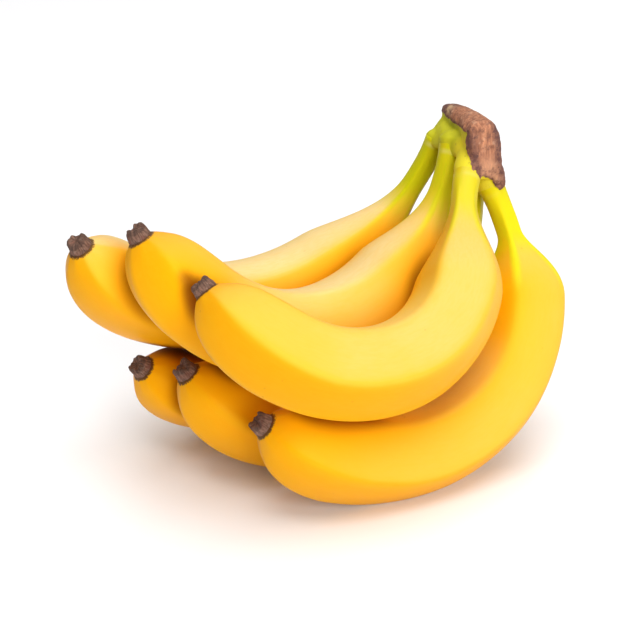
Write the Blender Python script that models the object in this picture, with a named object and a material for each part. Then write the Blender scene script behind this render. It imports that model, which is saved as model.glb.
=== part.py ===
"""A bunch of six ripe bananas on one cut crown, lying on a flat surface.

Three bananas grow from the upper row of the crown and three from the lower row.
The lower three rest on the surface, each on a small flat spot. Every banana keeps
its dried blossom end as a piece of its own. The figures below are millimetres and
degrees; the meshes are built in metres, +Z up, with the surface at z = 0.
"""
import bmesh
import bpy
import numpy as np
from math import cos, exp, pi, radians, sin
from mathutils import Matrix, Vector

MM = 0.001

# Clearances between pieces that touch on the real bunch.
JOIN_GAP = 0.35
PRESS_GAP = 0.45

# Shape shared by all bananas.
AROUND = 20
BODY_STEP = 7.0
MEAN_WIDTH = 0.975
TIP_TAPER = 42.0
TIP_OPENING = 9.0
TIP_RADIUS = 4.6
END_LENGTH = 4.8

# The five ridges: how sharp their corners are, the mean of the plain five-sided
# section, and how much of it shows along the body, at the shoulder and near the tip.
CORNER_SHARPNESS = 16.0
FIVE_SIDED_MEAN = 1.069
BODY_SHARE = 0.50
SHOULDER_SHARE = 0.16
TIP_SHARE = 0.10
# The ridge along the outer curve is weaker by this share near the crown.
OUTER_SOFTNESS = 0.65
# The front banana's shoulder is fuller than the others'.
FULL_SHOULDER = 0.08
# Shares of the length at which each banana's own ridge turns are given.
RIDGE_STATIONS = (0.2, 0.45, 0.7, 1.0)

# Level of the surface: what reaches below it is pressed flat.
REST_LEVEL = 0.6

# The dried blossom end: a rough, slightly hollow stub.
END_AROUND = 12
END_BASE_RADIUS = 4.4
END_RADIUS = 3.7
END_HOLLOW = 0.9

# The crown: a thick bent plate of cut stalk, seen along its own row direction.
CROWN_PLACE = (58.5, 46.5, 120.0)
CROWN_TURN = 24.0
CROWN_AROUND = 28
SOCKET_SIDES = 20
SOCKET_COLLAR = 0.25

# Each banana leaves the crown at root, heads away from it at heading (0 is -X) and
# leans sideways out of the upright plane. dive is its direction at the crown, bends
# are the bending rates in degrees per millimetre at the crown, at one third, at two
# thirds and at the tip. ridge turns its five ridges about the spine at the stations
# above. start is where it leaves the crown's own tissue, which begins sunk millimetres
# before the root.
FRUITS = (
    dict(
        name="banana_upper_back", root=(49.0, 56.0, 118.0), heading=27.5, lean=-6.5,
        dive=-67.0, bends=(0.47, 0.67, 0.64, 0.81), length=201.3, radius=18.0,
        neck=4.7, pedicel=20.5, shoulder=54.5, ridge=(4, 4, 4, 4), start=1.5, sunk=0.5,
    ),
    dict(
        name="banana_upper_middle", root=(54.0, 43.0, 118.5), heading=29.5, lean=16.5,
        dive=-67.5, bends=(0.29, 0.82, 0.90, 0.46), length=194.0, radius=17.9,
        neck=5.1, pedicel=17.5, shoulder=46.0, ridge=(-14, -3, 10, 20), start=1.5, sunk=4.0,
    ),
    dict(
        name="banana_upper_front", root=(60.5, 31.0, 116.5), heading=29.8, lean=42.2,
        dive=-48.6, bends=(-1.16, 1.12, 1.02, 0.66), length=191.3, radius=17.6,
        neck=5.3, pedicel=19.0, shoulder=40.0, ridge=(1, -12, -17, -3), start=8.0, sunk=7.0,
    ),
    dict(
        name="banana_lower_front", root=(67.5, 36.5, 107.3), heading=32.2, lean=23.5,
        dive=-108.3, bends=(0.39, 1.02, 0.72, 0.47), length=210.9, radius=18.6,
        neck=5.0, pedicel=24.0, shoulder=27.0, ridge=(-16, -16, -16, -5), start=5.0, sunk=1.5,
    ),
    dict(
        name="banana_lower_middle", root=(62.0, 47.5, 108.6), heading=26.7, lean=11.4,
        dive=-89.1, bends=(0.44, 0.64, 0.99, 0.52), length=205.0, radius=18.0,
        neck=5.2, pedicel=39.0, shoulder=40.5, ridge=(5, 5, 5, 5), start=4.0, sunk=1.5,
    ),
    dict(
        name="banana_lower_back", root=(56.5, 60.5, 109.8), heading=29.7, lean=-5.8,
        dive=-92.8, bends=(0.51, 0.72, 0.71, 0.55), length=211.7, radius=16.8,
        neck=5.1, pedicel=30.5, shoulder=35.0, ridge=(-6, -6, -6, -6), start=4.0, sunk=1.5,
    ),
)


def material(name, colour, roughness):
    """A plain surface of one colour."""
    made = bpy.data.materials.new(name)
    made.use_nodes = True
    shader = made.node_tree.nodes["Principled BSDF"]
    shader.inputs["Base Color"].default_value = (*colour, 1.0)
    shader.inputs["Roughness"].default_value = roughness
    shader.inputs["Metallic"].default_value = 0.0
    return made


def clamp01(value):
    return min(max(value, 0.0), 1.0)


def smooth(low, high, value):
    """0 at low, 1 at high, and a smooth step between."""
    t = clamp01((value - low) / (high - low))
    return t * t * (3.0 - 2.0 * t)


def radius_at(fruit, s):
    """Half the thickness at s millimetres from the crown."""
    neck = fruit["neck"]
    full = fruit["radius"]
    body_length = fruit["length"] - fruit["pedicel"]
    grow = smooth(0.0, fruit["shoulder"], s - fruit["pedicel"])
    if fruit["name"] == "banana_lower_front":
        t = clamp01((s - fruit["pedicel"]) / fruit["shoulder"])
        grow += FULL_SHOULDER * 16.0 * t * t * (1.0 - t) ** 2
    if s > fruit["pedicel"]:
        radius = neck + (full - neck) * grow
    else:
        radius = neck + 0.8 * clamp01(1.0 - s / 14.0) ** 2
    along = clamp01((s - fruit["pedicel"]) / body_length)
    radius *= 1.0 - 0.06 * (1.0 - sin(pi * along) ** 0.5) * grow
    left = fruit["length"] - s
    if left < END_LENGTH:
        return min(radius, TIP_RADIUS - 1.2 * (1.0 - left / END_LENGTH))
    behind = min(left - END_LENGTH, TIP_TAPER)
    opening = (1.0 - exp(-behind / TIP_OPENING)) / (1.0 - exp(-TIP_TAPER / TIP_OPENING))
    return min(radius, TIP_RADIUS + (full - TIP_RADIUS) * opening)


class Spine:
    """The bent centre line of one banana, in the banana's own upright plane."""

    STEP = 0.5

    def __init__(self, fruit):
        self.fruit = fruit
        length = fruit["length"]
        self.before = 14.0
        count = int((length + self.before) / self.STEP) + 2
        self.s = np.arange(count) * self.STEP - self.before
        rate = np.interp(self.s / length, (0.0, 0.33, 0.66, 1.0), fruit["bends"])
        turn = np.concatenate([[0.0], np.cumsum((rate[1:] + rate[:-1]) / 2 * self.STEP)])
        turn -= np.interp(0.0, self.s, turn)
        self.angle = np.radians(fruit["dive"] + turn)
        middle = (self.angle[1:] + self.angle[:-1]) / 2
        x = np.concatenate([[0.0], np.cumsum(np.cos(middle) * self.STEP)])
        z = np.concatenate([[0.0], np.cumsum(np.sin(middle) * self.STEP)])
        self.x = x - np.interp(0.0, self.s, x)
        self.z = z - np.interp(0.0, self.s, z)
        place = Matrix.Translation(Vector(fruit["root"]))
        turned = Matrix.Rotation(radians(180.0 + fruit["heading"]), 4, "Z")
        leaned = Matrix.Rotation(radians(fruit["lean"]), 4, "X")
        self.matrix = place @ turned @ leaned

    def at(self, s):
        """Centre, forward direction and inward (concave side) direction at s."""
        centre = Vector((np.interp(s, self.s, self.x), 0.0, np.interp(s, self.s, self.z)))
        angle = float(np.interp(s, self.s, self.angle))
        forward = Vector((cos(angle), 0.0, sin(angle)))
        inward = Vector((-sin(angle), 0.0, cos(angle)))
        return centre, forward, inward

    def tube(self):
        """Centres (in the bunch's frame) and radii of the round tube round the spine."""
        kept = self.s >= 0.0
        kept &= self.s <= self.fruit["length"]
        centres = [
            self.matrix @ Vector((x, 0.0, z)) for x, z in zip(self.x[kept], self.z[kept])
        ]
        radii = [radius_at(self.fruit, s) for s in self.s[kept]]
        return np.array([tuple(c) for c in centres]), np.array(radii)


def stations(fruit):
    """Where the rings lie: even along the body, closer together at the blunt tip."""
    start = fruit["start"] + JOIN_GAP
    end = fruit["length"] - END_LENGTH - JOIN_GAP / 2
    near_tip = (0.0, 0.8, 2.2, 4.5, 8.0, 13.0, 19.0)
    even_end = end - near_tip[-1] - BODY_STEP
    count = round((even_end - start) / BODY_STEP)
    even = [start + (even_end - start) * i / count for i in range(count + 1)]
    return even + [end - back for back in reversed(near_tip)]


def five_sided(phase):
    """How far a softly cornered five-sided section stands out of its mean circle, as a
    share of the radius. The corners lie at phase 0, 72, 144, 216 and 288 degrees."""
    total = 0.0
    for k in range(5):
        facing = cos(phase - pi / 5.0 - 2.0 * pi * k / 5.0)
        total += max(facing, 0.0) ** CORNER_SHARPNESS
    return total ** (-1.0 / CORNER_SHARPNESS) / FIVE_SIDED_MEAN - 1.0


def ridge_share(fruit, s):
    """How much of the five-sided section shows at s millimetres from the crown."""
    left = fruit["length"] - END_LENGTH - s
    past_shoulder = s - fruit["pedicel"] - fruit["shoulder"] * 0.55
    share = BODY_SHARE + SHOULDER_SHARE * exp(-((past_shoulder / 34.0) ** 2))
    share += TIP_SHARE * exp(-(((left - 24.0) / 20.0) ** 2))
    return share * smooth(-1.0, 8.0, left)


def skin_rings(fruit, spine):
    """Rings of points round the spine, in the bunch's frame."""
    rings = []
    for s in stations(fruit):
        centre, _, inward = spine.at(s)
        grown = smooth(2.0, 14.0, s - fruit["start"])
        radius = radius_at(fruit, s) * (1.0 - (1.0 - MEAN_WIDTH) * grown)
        share = ridge_share(fruit, s) * grown
        softened = OUTER_SOFTNESS * (1.0 - smooth(0.28, 0.55, s / fruit["length"]))
        turn = radians(float(np.interp(s / fruit["length"], RIDGE_STATIONS, fruit["ridge"])))
        ring = []
        for i in range(AROUND):
            phase = 2.0 * pi * i / AROUND
            angle = phase + turn
            out = -inward * cos(angle) + Vector((0.0, 1.0, 0.0)) * sin(angle)
            outer = max(cos(phase), 0.0) ** 3
            reach = radius * (1.0 + five_sided(phase) * share * (1.0 - softened * outer))
            ring.append(spine.matrix @ (centre + out * reach))
        rings.append((spine.matrix @ centre, ring))
    return rings


def depth_in(point, tube):
    """Distance from a point to the nearest skin of a round tube."""
    centres, radii = tube
    return float((np.linalg.norm(centres - np.array(point), axis=1) - radii).min())


def press(rings, own, others):
    """Flattens a skin where it meets a neighbour, half of the gap to each side."""
    for axis_point, ring in rings[1:-1]:
        for i, point in enumerate(ring):
            for other in others:
                for _ in range(12):
                    excess = depth_in(point, own) - depth_in(point, other) + PRESS_GAP
                    if excess <= 0.0:
                        break
                    toward = (axis_point - point).normalized()
                    point = point + toward * (excess * 0.52 + 0.005)
            ring[i] = point


def loft(rings):
    """A closed skin over rings of equal counts, with flat end faces."""
    bm = bmesh.new()
    loops = [[bm.verts.new(point) for point in ring] for ring in rings]
    for a, b in zip(loops, loops[1:]):
        for i in range(len(a)):
            j = (i + 1) % len(a)
            bm.faces.new((a[i], a[j], b[j], b[i]))
    bm.faces.new(list(reversed(loops[0])))
    bm.faces.new(loops[-1])
    bmesh.ops.recalc_face_normals(bm, faces=bm.faces)
    return bm


def cut_level(bm, matrix, level):
    """Slices off what reaches below a level, leaving one small flat face."""
    inverse = matrix.inverted()
    origin = inverse @ Vector((0.0, 0.0, level))
    up = (inverse.to_3x3() @ Vector((0.0, 0.0, 1.0))).normalized()
    parts = bm.verts[:] + bm.edges[:] + bm.faces[:]
    cut = bmesh.ops.bisect_plane(
        bm, geom=parts, dist=0.00001, plane_co=origin, plane_no=up, clear_inner=True
    )
    rim = [e for e in cut["geom_cut"] if isinstance(e, bmesh.types.BMEdge)]
    if rim:
        bmesh.ops.contextual_create(bm, geom=rim)
    bmesh.ops.recalc_face_normals(bm, faces=bm.faces)


def add_object(name, bm, matrix, surface, parent):
    """Places a skin, given in millimetres, as a named object in metres."""
    bmesh.ops.scale(bm, vec=(MM, MM, MM), verts=bm.verts)
    mesh = bpy.data.meshes.new(name)
    bm.to_mesh(mesh)
    bm.free()
    mesh.materials.append(surface)
    mesh.shade_smooth()
    mesh.set_sharp_from_angle(angle=radians(40.0))
    made = bpy.data.objects.new(name, mesh)
    bpy.context.scene.collection.objects.link(made)
    made.parent = parent
    made.location = matrix.to_translation() * MM
    made.rotation_euler = matrix.to_euler()
    return made


def banana(fruit, spines, peel, parent):
    """One banana with its pedicel, pressed against its neighbours."""
    spine = spines[fruit["name"]]
    rings = skin_rings(fruit, spine)
    own = spine.tube()
    others = [s.tube() for n, s in spines.items() if n != fruit["name"]]
    press(rings, own, others)
    inverse = spine.matrix.inverted()
    bm = loft([[inverse @ point for point in ring] for _, ring in rings])
    if "lower" in fruit["name"]:
        cut_level(bm, spine.matrix, REST_LEVEL)
    return add_object(fruit["name"], bm, spine.matrix, peel, parent)


def blossom_end(fruit, spine, bark, parent):
    """The dried stub at a banana's tip, with a ragged, slightly hollow end."""
    base = fruit["length"] - END_LENGTH + JOIN_GAP / 2
    centre, forward, inward = spine.at(base)
    side = inward.cross(forward)
    frame = Matrix((side, inward, forward)).transposed().to_4x4()
    frame.translation = centre
    reach = END_LENGTH - JOIN_GAP / 2
    profile = (
        (0.0, END_BASE_RADIUS),
        (reach * 0.35, END_BASE_RADIUS * 1.0),
        (reach * 0.75, END_BASE_RADIUS * 0.9),
        (reach, END_RADIUS),
        (reach - END_HOLLOW, END_RADIUS * 0.55),
    )
    rings = []
    for row, (height, radius) in enumerate(profile):
        ring = []
        for i in range(END_AROUND):
            angle = 2.0 * pi * i / END_AROUND
            ragged = 0.05 * cos(5.0 * angle) + 0.04 * sin(3.0 * angle + fruit["length"])
            share = 0.0 if row == 0 else 1.0
            wide = radius * (1.0 + ragged * share)
            lift = 0.45 * sin(4.0 * angle + fruit["length"]) if row == 3 else 0.0
            ring.append(Vector((wide * cos(angle), wide * sin(angle), height + lift)))
        rings.append(ring)
    bm = loft(rings)
    name = fruit["name"].replace("banana", "blossom_end")
    return add_object(name, bm, spine.matrix @ frame, bark, parent)


# Crown sections from the front end to the back end: place along the row, lowest and
# highest level, left and right side at the bottom, left and right side at the top.
PLATE_SECTIONS = (
    (-21.5, -8.5, 12.0, 1.2, 5.6, -7.6, 2.4),
    (-20.0, -10.5, 14.0, -0.2, 7.2, -9.0, 3.9),
    (-13.0, -11.5, 14.0, 1.2, 8.4, -8.4, 4.6),
    (-5.0, -11.5, 13.4, 2.4, 9.2, -6.2, 5.4),
    (4.0, -11.5, 12.6, 2.4, 9.2, -5.2, 5.8),
    (12.0, -11.5, 11.4, 1.6, 8.6, -3.6, 6.0),
    (18.0, -10.8, 10.2, 0.6, 7.4, -2.4, 5.8),
    (19.5, -8.8, 8.8, 1.6, 6.0, -1.0, 4.4),
)
# The flesh that joins the tops of the three upper pedicels.
WEB_SECTIONS = (
    (-10.0, -1.2, 6.0, -9.6, 2.0, -8.6, 0.0),
    (-2.0, -1.2, 6.5, -10.4, 2.0, -8.4, 0.0),
    (5.0, -1.2, 6.0, -9.8, 2.0, -7.4, 0.0),
    (12.0, -1.2, 4.5, -9.0, 2.0, -6.0, 0.0),
    (16.5, -1.2, 3.0, -7.2, 2.0, -4.4, 0.0),
)
# The leg of cork that hangs over the lower front pedicel.
LEG_SECTIONS = (
    (-20.6, -13.0, -4.0, 5.4, 8.4, 1.0, 6.2),
    (-19.0, -15.0, -4.0, 5.2, 9.2, 0.0, 6.8),
    (-11.0, -15.0, -4.0, 5.2, 9.6, 0.0, 7.6),
    (-8.0, -13.5, -4.0, 5.6, 8.8, 1.0, 7.4),
)


def soft_bar(sections):
    """A bar through upright sections with rounded corners, along the row."""
    rings = []
    for along, low, high, left_low, right_low, left_high, right_high in sections:
        ring = []
        for i in range(CROWN_AROUND):
            angle = 2.0 * pi * i / CROWN_AROUND
            c, s = cos(angle), sin(angle)
            wide = (abs(c) ** 0.65) * (1 if c >= 0 else -1)
            tall = (abs(s) ** 0.65) * (1 if s >= 0 else -1)
            share = (tall + 1.0) / 2.0
            left = left_low + (left_high - left_low) * share
            right = right_low + (right_high - right_low) * share
            x = (left + right) / 2 + wide * (right - left) / 2
            ring.append(Vector((x, along, low + (high - low) * share)))
        rings.append(ring)
    return loft(rings)


def guide(name, bm, matrix, surface, parent):
    """A shape that only serves a union, kept out of the finished bunch."""
    made = add_object(name, bm, matrix, surface, parent)
    made.hide_render = True
    made.display_type = "WIRE"
    return made


def socket(fruit, spine, surface, parent):
    """The short piece of crown tissue that one pedicel grows from."""
    rings = []
    first = -fruit["sunk"]
    radius = radius_at(fruit, fruit["start"]) + SOCKET_COLLAR
    for share in (0.0, 0.35, 0.7, 1.0):
        s = first + (fruit["start"] - first) * share
        centre, _, inward = spine.at(s)
        ring = []
        for i in range(SOCKET_SIDES):
            angle = 2.0 * pi * (i + 0.5) / SOCKET_SIDES
            out = -inward * cos(angle) + Vector((0.0, 1.0, 0.0)) * sin(angle)
            ring.append(centre + out * radius)
        rings.append(ring)
    return guide("socket_" + fruit["name"], loft(rings), spine.matrix, surface, parent)


def crown(spines, cork, parent):
    """The plate joined with its web, its leg and one socket for each banana."""
    turned = Matrix.Rotation(radians(CROWN_TURN), 4, "Z")
    place = Matrix.Translation(Vector(CROWN_PLACE)) @ turned
    made = add_object("crown", soft_bar(PLATE_SECTIONS), place, cork, parent)
    pieces = [
        guide("web", soft_bar(WEB_SECTIONS), place, cork, parent),
        guide("leg", soft_bar(LEG_SECTIONS), place, cork, parent),
    ]
    pieces += [socket(fruit, spines[fruit["name"]], cork, parent) for fruit in FRUITS]
    for piece in pieces:
        join = made.modifiers.new("join_" + piece.name, "BOOLEAN")
        join.operation = "UNION"
        join.solver = "EXACT"
        join.object = piece
    return made


def exact_box(objects):
    """Lowest and highest points of the evaluated meshes."""
    bpy.context.view_layer.update()
    graph = bpy.context.evaluated_depsgraph_get()
    points = []
    for made in objects:
        seen = made.evaluated_get(graph)
        points += [tuple(seen.matrix_world @ v.co) for v in seen.data.vertices]
    points = np.array(points)
    return points.min(axis=0), points.max(axis=0)


def main():
    for old in list(bpy.data.objects):
        bpy.data.objects.remove(old, do_unlink=True)
    peel = material("peel", (0.86, 0.58, 0.06), 0.45)
    cork = material("crown_cork", (0.30, 0.15, 0.08), 0.85)
    bark = material("dried_blossom_end", (0.07, 0.045, 0.03), 0.9)

    bunch = bpy.data.objects.new("bunch", None)
    bpy.context.scene.collection.objects.link(bunch)

    spines = {fruit["name"]: Spine(fruit) for fruit in FRUITS}
    made = [crown(spines, cork, bunch)]
    for fruit in FRUITS:
        made.append(banana(fruit, spines, peel, bunch))
        made.append(blossom_end(fruit, spines[fruit["name"]], bark, bunch))

    low, high = exact_box(made)
    middle = (low + high) / 2
    bunch.location = (-middle[0], -middle[1], -low[2])
    bpy.context.view_layer.update()


main()
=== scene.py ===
"""The looks of a bunch of six ripe bananas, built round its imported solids.

Finished meshes are in metres, in the solids' own frame: +Z up, the surface at z = 0. The
shape figures are millimetres and degrees, as in the solids' source.
"""
from math import cos, exp, pi, radians, sin, tan

import bmesh
import bpy
import numpy as np
from mathutils import Matrix, Vector, noise


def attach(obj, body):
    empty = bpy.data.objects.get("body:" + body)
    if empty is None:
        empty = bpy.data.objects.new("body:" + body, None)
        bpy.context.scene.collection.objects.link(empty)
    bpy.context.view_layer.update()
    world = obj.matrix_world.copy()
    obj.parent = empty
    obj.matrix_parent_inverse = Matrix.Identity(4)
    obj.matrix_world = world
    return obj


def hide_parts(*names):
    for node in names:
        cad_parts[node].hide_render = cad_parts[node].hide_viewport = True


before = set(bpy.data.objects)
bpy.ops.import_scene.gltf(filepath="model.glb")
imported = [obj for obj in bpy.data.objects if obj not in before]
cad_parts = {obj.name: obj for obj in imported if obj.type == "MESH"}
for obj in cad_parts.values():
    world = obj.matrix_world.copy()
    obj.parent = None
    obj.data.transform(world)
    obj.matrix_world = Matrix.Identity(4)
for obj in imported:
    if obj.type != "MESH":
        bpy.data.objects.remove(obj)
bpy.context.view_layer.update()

MM = 0.001
FAR = 1e9

# The solids are centred over their own box; this is that shift.
SHIFT = Vector((-0.418, 0.364, -0.6))

# The grid of one peel: points round it, rows along its body, closer rows up to its end
AROUND = 80
BODY_ROWS = 120
CLOSE_ROWS = 24
CLOSE_LENGTH = 16.0

# Thickness along a banana: the root's flare, the body's thinning at both ends, the tip
# and the narrowing stub behind it
ROOT_FLARE = 0.8
ROOT_FLARE_LENGTH = 14.0
END_THINNING = 0.06
TIP_TAPER = 42.0
TIP_OPENING = 9.0
TIP_RADIUS = 4.6
END_LENGTH = 4.8
END_NARROWING = 1.2
# The front banana's shoulder is fuller than the others'.
FULL_SHOULDER = 0.08

# The five-sided section, and where along a banana the turn of its ridges is given
RIDGE_STATIONS = (0.2, 0.45, 0.7, 1.0)
FIVE_SIDED_MEAN = 1.069
MEAN_WIDTH = 0.975
# How much of that section shows everywhere, how much more at the shoulder and at the tip,
# and how much of it is lost on the outer side near the crown
RIDGES_EVERYWHERE = 0.50
RIDGES_AT_SHOULDER = 0.16
RIDGES_AT_TIP = 0.10
OUTER_LOSS = 0.65
RIDGE_HEIGHTS = (0.85, 1.2)
RIDGE_SEED = 11

# Swellings of the skin as shares of its radius, and the puckers at the blossom end
BROAD_SWELL = 0.012
BROAD_SWELL_SIZE = 34.0
SMALL_SWELL = 0.004
SMALL_SWELL_SIZE = 12.0
PUCKERS = 10.0
PUCKER_DEPTH = 0.12
PUCKER_LENGTH = 4.0

# The bananas press flat against each other, in rounds, down to a small gap.
PRESS_GAP = 0.12
PRESS_ROUNDS = 8
PRESS_SHARE = 0.52
PRESS_EXTRA = 0.005
FLOOR_GAP = 0.05
TUBE_BLOCK = 40

# The most that a peel reaches into its collar
MOST_OVERLAP = 3.0

# The direction of the painted light; peel sides that face it are painted palest
SUNNY_SIDE = np.array([0.33, -0.20, 0.92])
# How fast painted shade fades: golden shade from the blossom end and, in the lower row,
# from the next banana; orange shade and then a dark painted shadow line where two bananas
# meet
GOLDEN_SHADE_FADE = 24.0
LOWER_GOLDEN_SHADE = 0.9
LOWER_GOLDEN_SHADE_FADE = 14.0
NEAR_SHADE_FADE = 13.0
LOWER_NEAR_SHADE_FADE = 17.0
SHADOW_LINE = 5.5
FRONT_SHADOW_LINE = 7.0
FAR_GAP = 60.0

# Each banana: where it starts, its directions and bends, its length and half thickness,
# the pedicel's and the shoulder's measures, and the turn of its ridges. Then how deep its
# collar sits, where its solid starts, the strength of its two neck colours, of its painted
# golden shade at the tip and of its painted light on top.
FRUITS = (
    dict(
        name="banana_upper_back", root=(49.0, 56.0, 118.0), heading=27.5, lean=-6.5,
        dive=-67.0, bends=(0.47, 0.67, 0.64, 0.81), length=201.3, radius=18.0,
        neck=4.7, pedicel=20.5, shoulder=54.5, ridge=(4, 4, 4, 4),
        sunk=0.5, start=1.5, olive=1.0, lemon=0.0, golden_shade=0.0, top_light=1.6,
    ),
    dict(
        name="banana_upper_middle", root=(54.0, 43.0, 118.5), heading=29.5, lean=16.5,
        dive=-67.5, bends=(0.29, 0.82, 0.90, 0.46), length=194.0, radius=17.9,
        neck=5.1, pedicel=17.5, shoulder=46.0, ridge=(-14, -3, 10, 20),
        sunk=4.0, start=1.5, olive=0.8, lemon=0.5, golden_shade=0.9, top_light=1.0,
    ),
    dict(
        name="banana_upper_front", root=(60.5, 31.0, 116.5), heading=29.8, lean=42.2,
        dive=-48.6, bends=(-1.16, 1.12, 1.02, 0.66), length=191.3, radius=17.6,
        neck=5.3, pedicel=19.0, shoulder=40.0, ridge=(1, -12, -17, -3),
        sunk=7.0, start=8.0, olive=0.5, lemon=0.45, golden_shade=0.8, top_light=0.2,
    ),
    dict(
        name="banana_lower_front", root=(67.5, 36.5, 107.3), heading=32.2, lean=23.5,
        dive=-108.3, bends=(0.39, 1.02, 0.72, 0.47), length=210.9, radius=18.6,
        neck=5.0, pedicel=24.0, shoulder=27.0, ridge=(-16, -16, -16, -5),
        sunk=1.5, start=5.0, olive=0.15, lemon=1.0, golden_shade=0.5, top_light=0.6,
    ),
    dict(
        name="banana_lower_middle", root=(62.0, 47.5, 108.6), heading=26.7, lean=11.4,
        dive=-89.1, bends=(0.44, 0.64, 0.99, 0.52), length=205.0, radius=18.0,
        neck=5.2, pedicel=39.0, shoulder=40.5, ridge=(5, 5, 5, 5),
        sunk=1.5, start=4.0, olive=0.8, lemon=0.2, golden_shade=0.8, top_light=0.4,
    ),
    dict(
        name="banana_lower_back", root=(56.5, 60.5, 109.8), heading=29.7, lean=-5.8,
        dive=-92.8, bends=(0.51, 0.72, 0.71, 0.55), length=211.7, radius=16.8,
        neck=5.1, pedicel=30.5, shoulder=35.0, ridge=(-6, -6, -6, -6),
        sunk=1.5, start=4.0, olive=0.8, lemon=0.2, golden_shade=0.8, top_light=0.4,
    ),
)


def smooth(a, b, x):
    """0 at a, 1 at b, and a smooth step between."""
    t = np.clip((x - a) / (b - a), 0.0, 1.0)
    return t * t * (3.0 - 2.0 * t)


class Spine:
    """The bent centre line of one banana, in the banana's own upright plane."""

    STEP = 0.5
    BEFORE = 14.0
    BEND_STATIONS = (0.0, 0.33, 0.66, 1.0)

    def __init__(self, fruit):
        length = fruit["length"]
        count = int((length + self.BEFORE) / self.STEP) + 2
        self.s = np.arange(count) * self.STEP - self.BEFORE
        rate = np.interp(self.s / length, self.BEND_STATIONS, fruit["bends"])
        turn = np.concatenate([[0.0], np.cumsum((rate[1:] + rate[:-1]) / 2 * self.STEP)])
        turn -= np.interp(0.0, self.s, turn)
        self.angle = np.radians(fruit["dive"] + turn)
        middle = (self.angle[1:] + self.angle[:-1]) / 2
        x = np.concatenate([[0.0], np.cumsum(np.cos(middle) * self.STEP)])
        z = np.concatenate([[0.0], np.cumsum(np.sin(middle) * self.STEP)])
        self.x = x - np.interp(0.0, self.s, x)
        self.z = z - np.interp(0.0, self.s, z)
        place = Matrix.Translation(Vector(fruit["root"]) + SHIFT)
        turned = Matrix.Rotation(radians(180.0 + fruit["heading"]), 4, "Z")
        leaned = Matrix.Rotation(radians(fruit["lean"]), 4, "X")
        self.matrix = np.array(place @ turned @ leaned)
        kept = (self.s >= 0.0) & (self.s <= length)
        flat = np.stack([self.x[kept], np.zeros(kept.sum()), self.z[kept]], 1)
        self.tube_centres = self.world(flat)
        self.tube_radii = radius_at(fruit, self.s[kept])

    def world(self, points):
        return points @ self.matrix[:3, :3].T + self.matrix[:3, 3]

    def at(self, s):
        """Centres, forward directions and inward directions at the stations s."""
        level = np.zeros_like(s)
        centre = np.stack(
            [np.interp(s, self.s, self.x), level, np.interp(s, self.s, self.z)], 1
        )
        angle = np.interp(s, self.s, self.angle)
        forward = np.stack([np.cos(angle), level, np.sin(angle)], 1)
        inward = np.stack([-np.sin(angle), level, np.cos(angle)], 1)
        return centre, forward, inward


def radius_at(fruit, s):
    """Half the thickness at s millimetres from the crown."""
    s = np.asarray(s, float)
    neck, full = fruit["neck"], fruit["radius"]
    t = np.clip((s - fruit["pedicel"]) / fruit["shoulder"], 0.0, 1.0)
    grow = t * t * (3.0 - 2.0 * t)
    if fruit["name"] == "banana_lower_front":
        grow = grow + FULL_SHOULDER * 16.0 * t * t * (1.0 - t) ** 2
    stalk = neck + ROOT_FLARE * np.clip(1.0 - s / ROOT_FLARE_LENGTH, 0.0, 1.0) ** 2
    radius = np.where(s > fruit["pedicel"], neck + (full - neck) * grow, stalk)
    body_length = fruit["length"] - fruit["pedicel"]
    along = np.clip((s - fruit["pedicel"]) / body_length, 0.0, 1.0)
    radius = radius * (1.0 - END_THINNING * (1.0 - np.sin(pi * along) ** 0.5) * grow)
    left = fruit["length"] - s
    behind = np.clip(left - END_LENGTH, 0.0, TIP_TAPER)
    opening = 1.0 - np.exp(-behind / TIP_OPENING)
    opening = opening / (1.0 - exp(-TIP_TAPER / TIP_OPENING))
    tip = TIP_RADIUS + (full - TIP_RADIUS) * opening
    stub = TIP_RADIUS - END_NARROWING * (1.0 - left / END_LENGTH)
    return np.minimum(radius, np.where(left < END_LENGTH, stub, tip))


SPINES = {fruit["name"]: Spine(fruit) for fruit in FRUITS}


def five_sided(phase, sharpness=16.0):
    """How far a softly cornered five-sided section stands out of its mean circle, as a
    share of the radius. The corners lie at phase 0, 72, 144, 216 and 288 degrees."""
    total = np.zeros_like(phase)
    for k in range(5):
        facing = np.cos(phase - pi / 5 - 2 * pi * k / 5)
        total += np.clip(facing, 0.0, None) ** sharpness
    return total ** (-1.0 / sharpness) / FIVE_SIDED_MEAN - 1.0


def ridge_at(fruit, s):
    """The turn of the ridges about the spine, in radians."""
    share = np.asarray(s, float) / fruit["length"]
    return np.radians(np.interp(share, RIDGE_STATIONS, fruit["ridge"]))


def noise_field(points, scale, seed):
    """Smooth noise from -1 to 1 at each point (millimetres)."""
    offset = Vector((seed * 13.7, seed * 7.1, seed * 3.3))
    return np.array([noise.noise(Vector(p) / scale + offset) for p in points])


def tube_distance(points, spine):
    """Distance from points to the nearest skin of a banana's round tube."""
    best = np.full(len(points), FAR)
    for i in range(0, len(spine.tube_radii), TUBE_BLOCK):
        centres = spine.tube_centres[i : i + TUBE_BLOCK + 1]
        radii = spine.tube_radii[i : i + TUBE_BLOCK + 1]
        off = np.linalg.norm(points[:, None] - centres[None], axis=2) - radii[None]
        best = np.minimum(best, off.min(axis=1))
    return best


def overlap(fruit):
    """How far a peel reaches into its collar."""
    return min(MOST_OVERLAP, (fruit["sunk"] + fruit["start"]) / 2)


def outward_from(inward, turn):
    """Directions away from the spine, at each station's turns about it."""
    across = np.array([0.0, 1.0, 0.0])
    return (
        -inward[:, None, :] * np.cos(turn)[:, :, None]
        + across[None, None, :] * np.sin(turn)[:, :, None]
    )


def grid_faces(rows, columns):
    """Quads over rows of closed rings."""
    faces = []
    for i in range(rows - 1):
        for j in range(columns):
            k = (j + 1) % columns
            a, b = i * columns, (i + 1) * columns
            faces.append((a + j, a + k, b + k, b + j))
    return faces


def new_object(name, mesh):
    made = bpy.data.objects.new(name, mesh)
    bpy.context.scene.collection.objects.link(made)
    return made


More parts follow.
